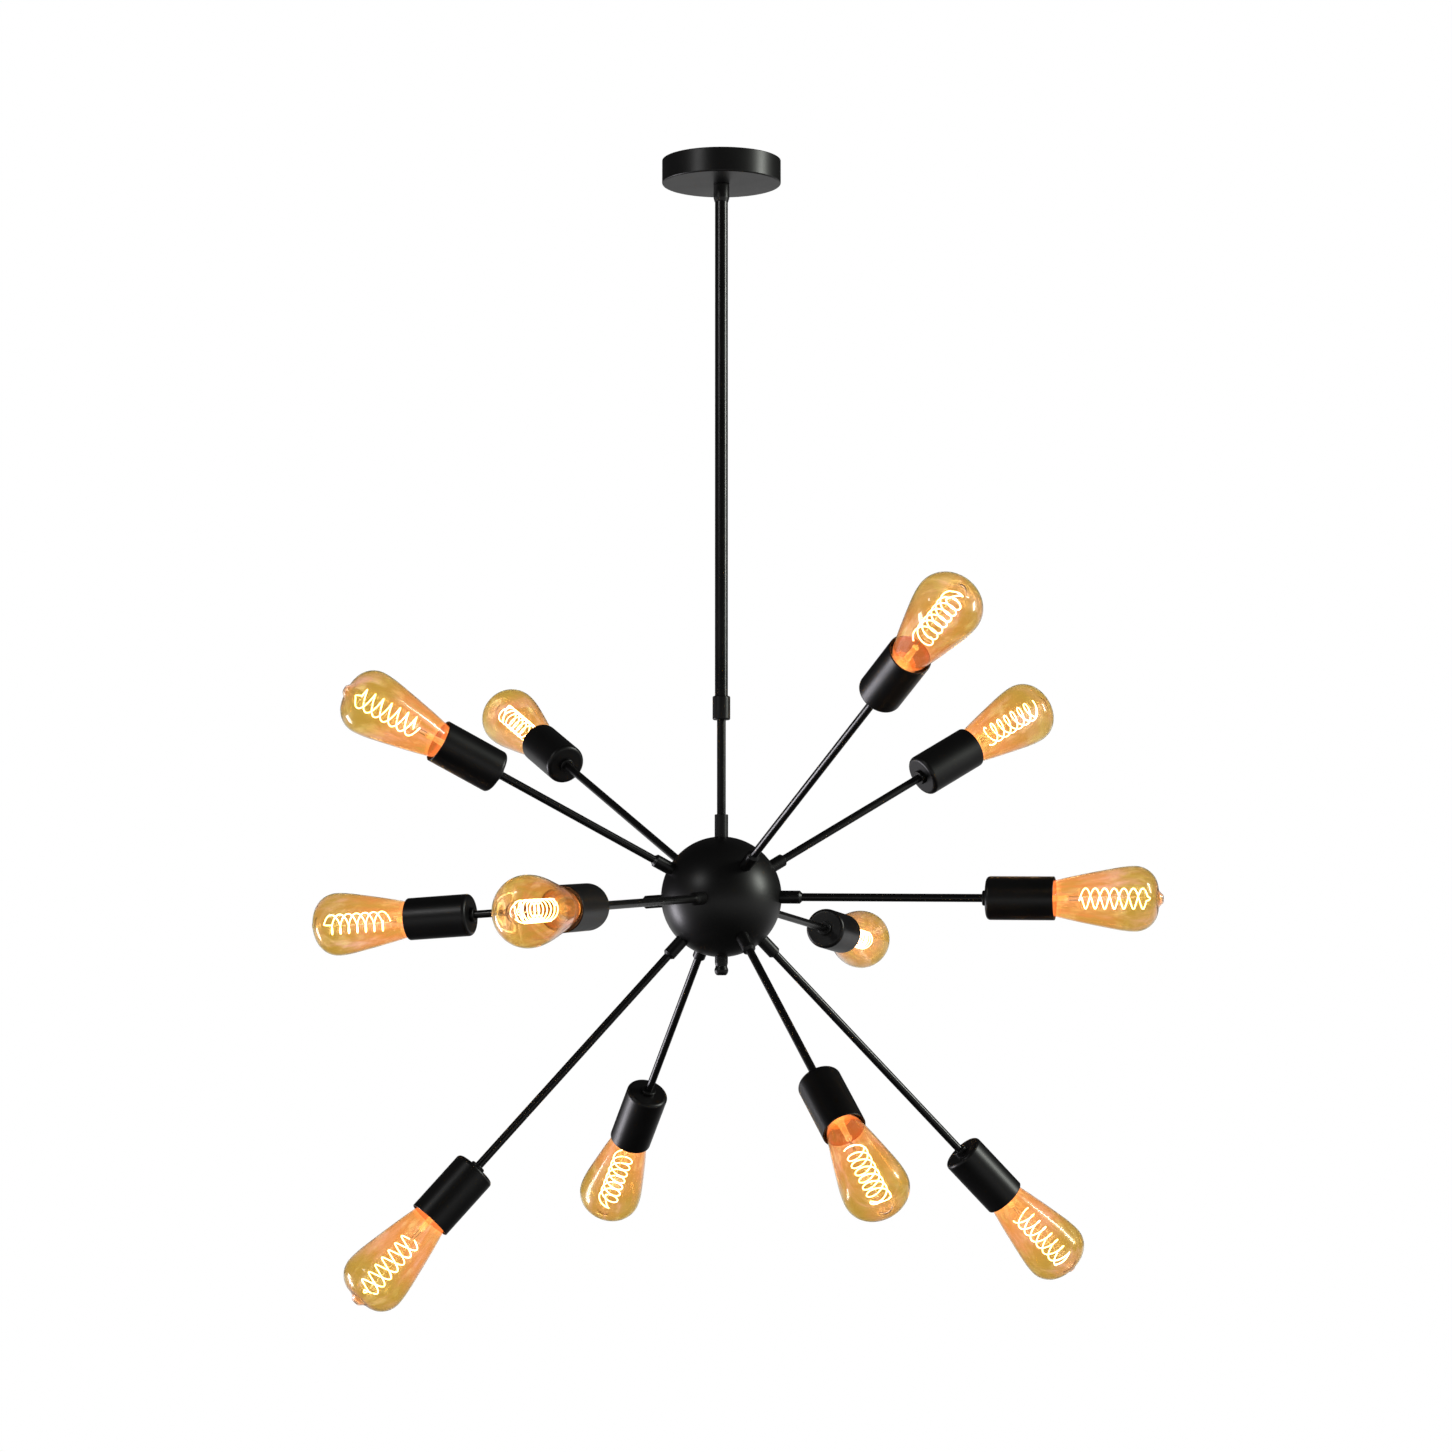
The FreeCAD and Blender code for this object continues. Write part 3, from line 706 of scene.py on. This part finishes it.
def makeBall():
    # a hollow sphere, drilled for the rods, the stem and the finial's stud
    bm = bmesh.new()
    bmesh.ops.create_uvsphere(bm, u_segments=144, v_segments=72, radius=ball["radius"])
    hollow = ball["radius"] - ball["wall"]
    inner = bmesh.ops.create_uvsphere(bm, u_segments=48, v_segments=24, radius=hollow)
    bmesh.ops.reverse_faces(bm, faces=list({face for vert in inner["verts"] for face in vert.link_faces}))
    mesh = bpy.data.meshes.new("ballShell")
    bm.to_mesh(mesh)
    bm.free()
    drill = bmesh.new()
    ways = [(armWay(arm), ball["rodHole"]) for arm in allArms]
    ways += [(Vector((0, 0, 1)), ball["stemHole"]), (Vector((0, 0, -1)), ball["studHole"])]
    for way, radius in ways:
        turn = way.to_track_quat("Z", "Y").to_matrix().to_4x4()
        middle = Matrix.Translation(way * ball["radius"])
        bmesh.ops.create_cone(drill, cap_ends=True, segments=24, radius1=radius, radius2=radius,
                              depth=ball["drillLength"], matrix=middle @ turn)
    drills = bpy.data.meshes.new("drills")
    drill.to_mesh(drills)
    drill.free()
    shell, cutter = addObject("ballShell", mesh, "black"), addObject("drills", drills, "black")
    cut = shell.modifiers.new("drilled", "BOOLEAN")
    cut.operation = "DIFFERENCE"
    cut.solver = "EXACT"
    cut.object = cutter
    graph = bpy.context.evaluated_depsgraph_get()
    result = bpy.data.meshes.new_from_object(shell.evaluated_get(graph))
    bpy.data.objects.remove(shell)
    bpy.data.objects.remove(cutter)
    for face in result.polygons:
        face.use_smooth = True
    result.set_sharp_from_angle(angle=math.radians(35))
    result.transform(Matrix.Translation(ballMiddle))
    standIn(addObject("ball", result, "black"), "fixture", "black_paint", "ball")


def makeBallSleeve():
    r, bore, top, edge = ball["sleeveRadius"], ball["stemHole"], ball["sleeveTop"], ball["sleeveEdge"]
    outline = supported(
        [(bore, onBall(bore)), (r, onBall(r))] + arcPoints((r - edge, top - edge), edge, 0, 90, 5)
        + [(bore, top), (bore, onBall(bore))])
    onStem("ballSleeve", outline, "black", "fixture", "black_paint", "ball_sleeve", segments=72,
           drop=layout["ballDrop"])


def makeFinial():
    # collar, neck and rounded knob, with the stud that goes up into the ball
    foot, knob, neck, neckCollar, stud = (finial[size] for size in ("foot", "knob", "neck", "collar", "stud"))
    low = -ball["radius"] - finial["length"]
    knobAt, neckAt, collarAt = (low + finial[place] for place in ("knobAt", "neckAt", "collarAt"))
    quarter = [math.radians(angle) for angle in range(10, 91, 10)]
    half = [math.pi * k / 8 for k in range(1, 9)]
    outline = supported(
        [(0, low), (foot, low)]
        + [(foot + (knob - foot) * math.sin(t), knobAt - (knobAt - low) * math.cos(t)) for t in quarter]
        + [(neck + (knob - neck) * (0.5 + 0.5 * math.cos(t)), knobAt + (neckAt - knobAt) * t / math.pi)
           for t in half]
        + [(neckCollar, collarAt), (neckCollar, -onBall(neckCollar)), (stud, -onBall(stud)),
           (stud, -finial["studTop"]), (0, -finial["studTop"])])
    onStem("finial", outline, "black", "fixture", "black_paint", "finial", segments=72, closed=False,
           drop=layout["ballDrop"])


def makeArmSleeves():
    r, bore, end, chamfer = armSleeve["radius"], armSleeve["bore"], armSleeve["end"], armSleeve["chamfer"]
    outline = supported([(bore, onBall(bore)), (r, onBall(r)), (r, end - chamfer), (r - chamfer, end),
                         (bore, end), (bore, onBall(bore))], ease=0.0003)
    mesh = turnedMesh("armSleeve", outline, segments=48, closed=True)
    onArms("armSleeves", mesh, "black", "black_paint", allArms, "arm_sleeves", atBall=True)


makeBall()
makeBallSleeve()
makeFinial()
makeArmSleeves()
print("ball, sleeves and finial made")


rod = {
    "radius": 0.004,
    "bore": 0.0025,
    "start": 0.0520,         # from the ball's middle
    "intoCup": 0.0060,
}


def makeRods():
    for number, arm in enumerate(allArms, 1):
        end = layout[arm[2]] + rod["intoCup"]
        outline = tubeOutline(rod["radius"], rod["bore"], rod["start"], end)
        mesh = turnedMesh("armRod", outline, segments=40, closed=False)
        onArms("armRod_%02d" % number, mesh, "rodBlack", "black_paint", [arm], "arm_rod_%02d" % number,
               atBall=True)


makeRods()
print("rods made")


cup = {
    "radius": 0.0215,
    "wall": 0.0015,
    "floor": 0.002,
    "corner": 0.004,
    "bossRadius": 0.0075,
    "bossLength": 0.004,
    "bossEdge": 0.001,
}


def makeCups():
    r, wall, corner, back = cup["radius"], cup["wall"], cup["corner"], -layout["cupLength"]
    bore, floor, inside = rod["radius"] + layout["clearance"], back + cup["floor"], corner - wall
    outline = supported(
        [(bore, back)] + arcPoints((r - corner, back + corner), corner, -90, 0, 12)
        + arcPoints((r - wall / 2, -wall / 2), wall / 2, 0, 180, 10)
        + arcPoints((r - corner, floor + inside), inside, 0, -90, 8)
        + [(bore, floor), (bore, back)])
    for tier in tierNames:
        mesh = turnedMesh("lampCup", outline, segments=96, closed=True)
        onArms("lampCups_" + tier, mesh, "cup", "cup_paint", armsByTier[tier], "lamp_cups_" + tier)


def makeBosses():
    r, edge, cupBack = cup["bossRadius"], cup["bossEdge"], -layout["cupLength"]
    back, bore = cupBack - cup["bossLength"], rod["radius"] + layout["clearance"]
    outline = supported([(bore, back)] + arcPoints((r - edge, back + edge), edge, -90, 0, 5)
                        + [(r, cupBack), (bore, cupBack), (bore, back)], ease=0.0003)
    mesh = turnedMesh("cupBoss", outline, segments=48, closed=True)
    onArms("cupBosses", mesh, "cup", "black_paint", allArms, "cup_bosses")


makeCups()
makeBosses()
print("lamp cups made")


bulb = {
    "radius": 0.032,
    "reach": 0.106,          # tip beyond the cup's mouth
    "throat": 0.0176,        # glass radius at the cup's mouth
    "coneRadius": 0.0286,
    "coneReach": 0.052,
    "domeReach": 0.0785,
    "domeRound": 0.0225,
    "wall": 0.0009,
    "neckRadius": 0.0124,
    "neckFoot": -0.0205,
    "neckStart": -0.013,
    "domeEnd": 0.0103,       # radius at which the dome turns out into the sealed tip
    "tipRadius": 0.0048,
    "tipRound": 0.0018,
    "tipSlopes": (-2.8, -1.1),       # radius per height, at the dome and where the tip's round end starts
    "spin": 1.7,             # how far each bulb is turned beyond the last, in radians
}
mount = {
    "reach": 0.014,          # beyond the cup's mouth
    "rim": 0.001,
    "waist": 0.0034,
    "waistAt": 0.014,        # above the neck's foot
    "press": 0.0026,
    "pressFromEnd": 0.006,
    "button": 0.0032,
    "slopes": (-1.6, -0.05),         # radius per height, at the rim and at the waist
}
filament = {
    "start": 0.025,
    "pitch": 0.0186,         # of each strand
    "turns": 3.5,
    "radius": 0.0100,
    "wire": 0.0006,
    "bridge": 0.003,         # rise of the loop that joins the two strands
    "stepsPerTurn": 44,
    "sides": 10,
}


def smoothRun(start, startSlope, end, endSlope, steps):
    # a smooth run of an outline between two points, slopes in radius per height
    run = end[1] - start[1]
    points = []
    for k in range(1, steps + 1):
        t = k / steps
        a, b = 2 * t ** 3 - 3 * t ** 2 + 1, t ** 3 - 2 * t ** 2 + t
        c, d = -2 * t ** 3 + 3 * t ** 2, t ** 3 - t ** 2
        radius = a * start[0] + b * run * startSlope + c * end[0] + d * run * endSlope
        points.append((radius, start[1] + run * t))
    return points


def glassRun(inset):
    # one face of the glass from the neck's foot to the edge of the dome's flat middle
    neck, throat = bulb["neckRadius"] - inset, bulb["throat"] - inset
    cone, widest = bulb["coneRadius"] - inset, bulb["radius"] - inset
    slope = (cone - throat) / bulb["coneReach"]
    points = [(neck, bulb["neckFoot"]), (neck, bulb["neckStart"])]
    points += smoothRun(points[-1], 0.0, (throat, 0.0), slope * 1.2, 10)
    points += smoothRun(points[-1], slope * 1.2, (cone, bulb["coneReach"]), slope * 0.9, 12)
    points += smoothRun(points[-1], slope * 0.9, (widest, bulb["domeReach"]), 0.0, 10)
    middle = bulb["radius"] - bulb["domeRound"]
    points += arcPoints((middle, bulb["domeReach"]), bulb["domeRound"] - inset, 0, 90, 18)[1:]
    return points


def makeGlass():
    # the dome turns out into a blunt cone where the bulb was sealed, and the wall follows it inside
    wall, end, roundness = bulb["wall"], bulb["reach"], bulb["tipRound"]
    outer = [point for point in glassRun(0.0) if point[0] > bulb["domeEnd"] or point[1] < bulb["domeReach"]]
    rise = math.sqrt(bulb["domeRound"] ** 2 - (bulb["domeEnd"] - bulb["radius"] + bulb["domeRound"]) ** 2)
    start = (bulb["domeEnd"], bulb["domeReach"] + rise)
    pip = arcPoints((bulb["tipRadius"] - roundness, end - roundness), roundness, 35, 90, 6) + [(0, end)]
    startSlope, endSlope = bulb["tipSlopes"]
    sweep = [start] + smoothRun(start, startSlope, pip[0], endSlope, 10)
    hollow = [(radius - wall, height - wall) for radius, height in sweep[3:]]
    inner = glassRun(wall) + hollow + [(0, hollow[-1][1] + wall / 2)]
    outline = outer + sweep + pip + inner[::-1]
    for tier in tierNames:
        mesh = turnedMesh("bulbGlass", outline, segments=80, closed=True, byHeight=True)
        onArms("bulbGlass_" + tier, mesh, "amber", "amber_glass", armsByTier[tier], "bulb_glass_" + tier,
               spin=bulb["spin"])


def makeMounts():
    # flared stem, pinched press and button of clear glass
    foot, reach, button = bulb["neckFoot"], mount["reach"], mount["button"]
    flare = bulb["neckRadius"] - bulb["wall"] - layout["clearance"]
    outline = [(0, foot), (flare, foot), (flare, foot + mount["rim"])]
    atRim, atWaist = mount["slopes"]
    outline += smoothRun(outline[-1], atRim, (mount["waist"], foot + mount["waistAt"]), atWaist, 10)
    outline += smoothRun(outline[-1], atWaist, (mount["press"], reach - mount["pressFromEnd"]), 0.0, 6)
    outline += arcPoints((0.0, reach - button), button, -35, 90, 10)
    mesh = turnedMesh("filamentMount", outline, segments=40, closed=False)
    onArms("filamentMounts", mesh, "clear", "clear_glass", allArms, "filament_mounts", spin=bulb["spin"])


def coilTree():
    # two strands wound round each other and joined by a loop at the far end, as a mesh
    tree = bpy.data.node_groups.new("woundFilament", "GeometryNodeTree")
    for label in ("Coil Radius", "Pitch", "Turns", "Start", "Wire Radius", "Bridge"):
        tree.interface.new_socket(label, in_out="INPUT", socket_type="NodeSocketFloat")
    tree.interface.new_socket("Finish", in_out="INPUT", socket_type="NodeSocketMaterial")
    tree.interface.new_socket("Geometry", in_out="OUTPUT", socket_type="NodeSocketGeometry")
    add, link = tree.nodes.new, tree.links.new
    source, result = add("NodeGroupInput"), add("NodeGroupOutput")

    def maths(operation, first, second):
        node = add("ShaderNodeMath")
        node.operation = operation
        for socket, value in zip(node.inputs, (first, second)):
            if isinstance(value, float):
                socket.default_value = value
            else:
                link(value, socket)
        return node.outputs[0]

    def vector(**parts):
        node = add("ShaderNodeCombineXYZ")
        for axis, value in parts.items():
            link(value, node.inputs[axis])
        return node.outputs[0]

    radius, turns = source.outputs["Coil Radius"], source.outputs["Turns"]
    rise = maths("MULTIPLY", source.outputs["Pitch"], turns)
    strand = add("GeometryNodeCurveSpiral")
    strand.inputs["Resolution"].default_value = filament["stepsPerTurn"]
    link(turns, strand.inputs["Rotations"])
    link(radius, strand.inputs["Start Radius"])
    link(radius, strand.inputs["End Radius"])
    link(rise, strand.inputs["Height"])
    other = add("GeometryNodeTransform")
    other.inputs["Rotation"].default_value = (0, 0, math.pi)
    link(strand.outputs["Curve"], other.inputs["Geometry"])
    loop = add("GeometryNodeCurveQuadraticBezier")
    link(vector(X=radius, Z=rise), loop.inputs["Start"])
    top = maths("ADD", rise, maths("MULTIPLY", source.outputs["Bridge"], 2.0))
    link(vector(Z=top), loop.inputs["Middle"])
    link(vector(X=maths("MULTIPLY", radius, -1.0), Z=rise), loop.inputs["End"])
    joined = add("GeometryNodeJoinGeometry")
    for part in (strand.outputs["Curve"], other.outputs["Geometry"], loop.outputs["Curve"]):
        link(part, joined.inputs["Geometry"])
    move = add("GeometryNodeTransform")
    link(joined.outputs["Geometry"], move.inputs["Geometry"])
    link(vector(Z=source.outputs["Start"]), move.inputs["Translation"])
    section = add("GeometryNodeCurvePrimitiveCircle")
    section.inputs["Resolution"].default_value = filament["sides"]
    link(source.outputs["Wire Radius"], section.inputs["Radius"])
    sweep = add("GeometryNodeCurveToMesh")
    sweep.inputs["Fill Caps"].default_value = True
    link(move.outputs["Geometry"], sweep.inputs["Curve"])
    link(section.outputs["Curve"], sweep.inputs["Profile Curve"])
    smooth = add("GeometryNodeSetShadeSmooth")
    link(sweep.outputs["Mesh"], smooth.inputs["Geometry"])
    real, finish = add("GeometryNodeRealizeInstances"), add("GeometryNodeSetMaterial")
    link(smooth.outputs["Geometry"], real.inputs["Geometry"])
    link(real.outputs["Geometry"], finish.inputs["Geometry"])
    link(source.outputs["Finish"], finish.inputs["Material"])
    link(finish.outputs["Geometry"], result.inputs["Geometry"])
    return tree


def coilMesh(tree):
    carrier = bpy.data.objects.new("coilCarrier", bpy.data.meshes.new("coilCarrier"))
    bpy.context.collection.objects.link(carrier)
    modifier = carrier.modifiers.new("wound", "NODES")
    modifier.node_group = tree
    sizes = {"Coil Radius": filament["radius"], "Pitch": filament["pitch"], "Turns": filament["turns"],
             "Start": filament["start"], "Wire Radius": filament["wire"], "Bridge": filament["bridge"]}
    for label, value in sizes.items():
        modifier[inputName(tree, label)] = float(value)
    modifier[inputName(tree, "Finish")] = finishes["glow"]
    graph = bpy.context.evaluated_depsgraph_get()
    mesh = bpy.data.meshes.new_from_object(carrier.evaluated_get(graph))
    bpy.data.objects.remove(carrier)
    return mesh


def makeFilaments():
    tree = coilTree()
    for tier in tierNames:
        onArms("filaments_" + tier, coilMesh(tree), "glow", "filament", armsByTier[tier], "filaments_" + tier,
               spin=bulb["spin"])


makeGlass()
makeMounts()
makeFilaments()
print("bulbs made")


# solids that are shown as they are, with only their finish from here
keptFinishes = {
    "zinc": ["mounting_bar", "threaded_nipple", "nipple_nuts",
             "ball_nut", "finial_nut", "arm_nuts", "cup_nuts"],
    "green": ["ground_screw"],
    "darkScrew": ["canopy_set_screw", "tube_set_screw"],
    "nylon": ["guide_bush", "crimp_caps"],
    "sheath": ["stem_cable", "arm_leads"],
    "phenolic": ["lamp_holders_" + tier for tier in tierNames],
    "brass": ["screw_shells", "centre_contacts"] + ["bulb_caps_" + tier for tier in tierNames],
    "vitrite": ["bulb_insulators"],
    "solder": ["bulb_contacts"],
    "wire": ["filament_supports"],
}
for finishName, nodes in keptFinishes.items():
    for node in nodes:
        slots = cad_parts[node].data.materials
        slots.clear()
        slots.append(finishes[finishName])
print("solids finished")


room = {
    "floorDrop": 2.45,
    "floorSize": 60.0,
    "floorColour": (0.82, 0.82, 0.82),
    "fill": 0.55,            # the white room's light on the object
    "mirrored": 0.03,        # how bright the room and the near floor look in the black paint
    "mirroredFar": 0.60,     # and the far floor
    "nearGlow": 0.75,        # share of plain white in the near floor, which is all white far off
    "near": 1.5,             # distances from the floor's middle between which it changes
    "far": 7.0,
    "lamps": [               # place, size, power, colour
        ((2.60, -0.35, 0.26), (0.35, 1.0), 42.0, (0.96, 1.0, 0.93)),
        ((-2.45, 0.68, -1.56), (0.55, 1.1), 34.0, (0.95, 0.92, 1.0)),
        ((-1.75, -1.72, 0.50), (0.4, 0.4), 8.0, (1.0, 1.0, 1.0)),
    ],
}


def lookedAt(p):
    # two masks: seen straight on or through glass, and only seen in a reflection
    seen, through, glossy = (p.node("ShaderNodeLightPath", out="Is %s Ray" % kind)
                             for kind in ("Camera", "Transmission", "Glossy"))
    direct = seen.maths("MAXIMUM", through)
    return direct, (glossy - direct).clamped()


def makeRoom():
    world = bpy.data.worlds.new("room")
    bpy.context.scene.world = world
    world.use_nodes = True
    p = Paint("roomLight", world.node_tree)
    direct, glossy = lookedAt(p)
    level = p.spread(direct, 0.0, 1.0, p.spread(glossy, 0.0, 1.0, room["fill"], room["mirrored"]), 1.0)
    background = p.node("ShaderNodeBackground", {}, {"Color": (1, 1, 1), "Strength": level})
    p.show(background)
    size = room["floorSize"] / 2
    mesh = bpy.data.meshes.new("floor")
    corners = [(-size, -size, 0), (size, -size, 0), (size, size, 0), (-size, size, 0)]
    mesh.from_pydata(corners, [], [(0, 1, 2, 3)])
    floor = bpy.data.objects.new("floor", mesh)
    floor.location.z = -room["floorDrop"]
    bpy.context.collection.objects.link(floor)
    p = Paint("paleFloor")
    paleFloor = p.surface(Base_Color=room["floorColour"], Roughness=0.7, Specular_IOR_Level=0.2)
    floor.data.materials.append(paleFloor)
    plain = Value(p, p.output.inputs["Surface"].links[0].from_socket)
    direct, glossy = lookedAt(p)
    distance = p.distance()
    mirrored = p.spread(distance, room["near"], room["far"], room["mirrored"], room["mirroredFar"])
    share = p.spread(distance, room["near"], room["far"], room["nearGlow"], 1.0)
    glow = p.node("ShaderNodeEmission", {}, {"Strength": p.spread(glossy, 0.0, 1.0, 1.0, mirrored)})
    white = (direct * share).maths("MAXIMUM", glossy)
    p.show(p.node("ShaderNodeMixShader", {}, {0: white, 1: plain, 2: glow}))


def makeLamps():
    for number, (place, size, power, colour) in enumerate(room["lamps"]):
        data = bpy.data.lights.new("softbox%d" % number, "AREA")
        data.shape = "RECTANGLE"
        data.size, data.size_y = size
        data.energy = power
        data.color = colour
        lamp = bpy.data.objects.new("softbox%d" % number, data)
        lamp.location = place
        lamp.rotation_euler = (ballMiddle - Vector(place)).to_track_quat("-Z", "Y").to_euler()
        bpy.context.collection.objects.link(lamp)


makeRoom()
makeLamps()
bpy.context.scene.view_settings.view_transform = "Standard"
print("room and lamps made")
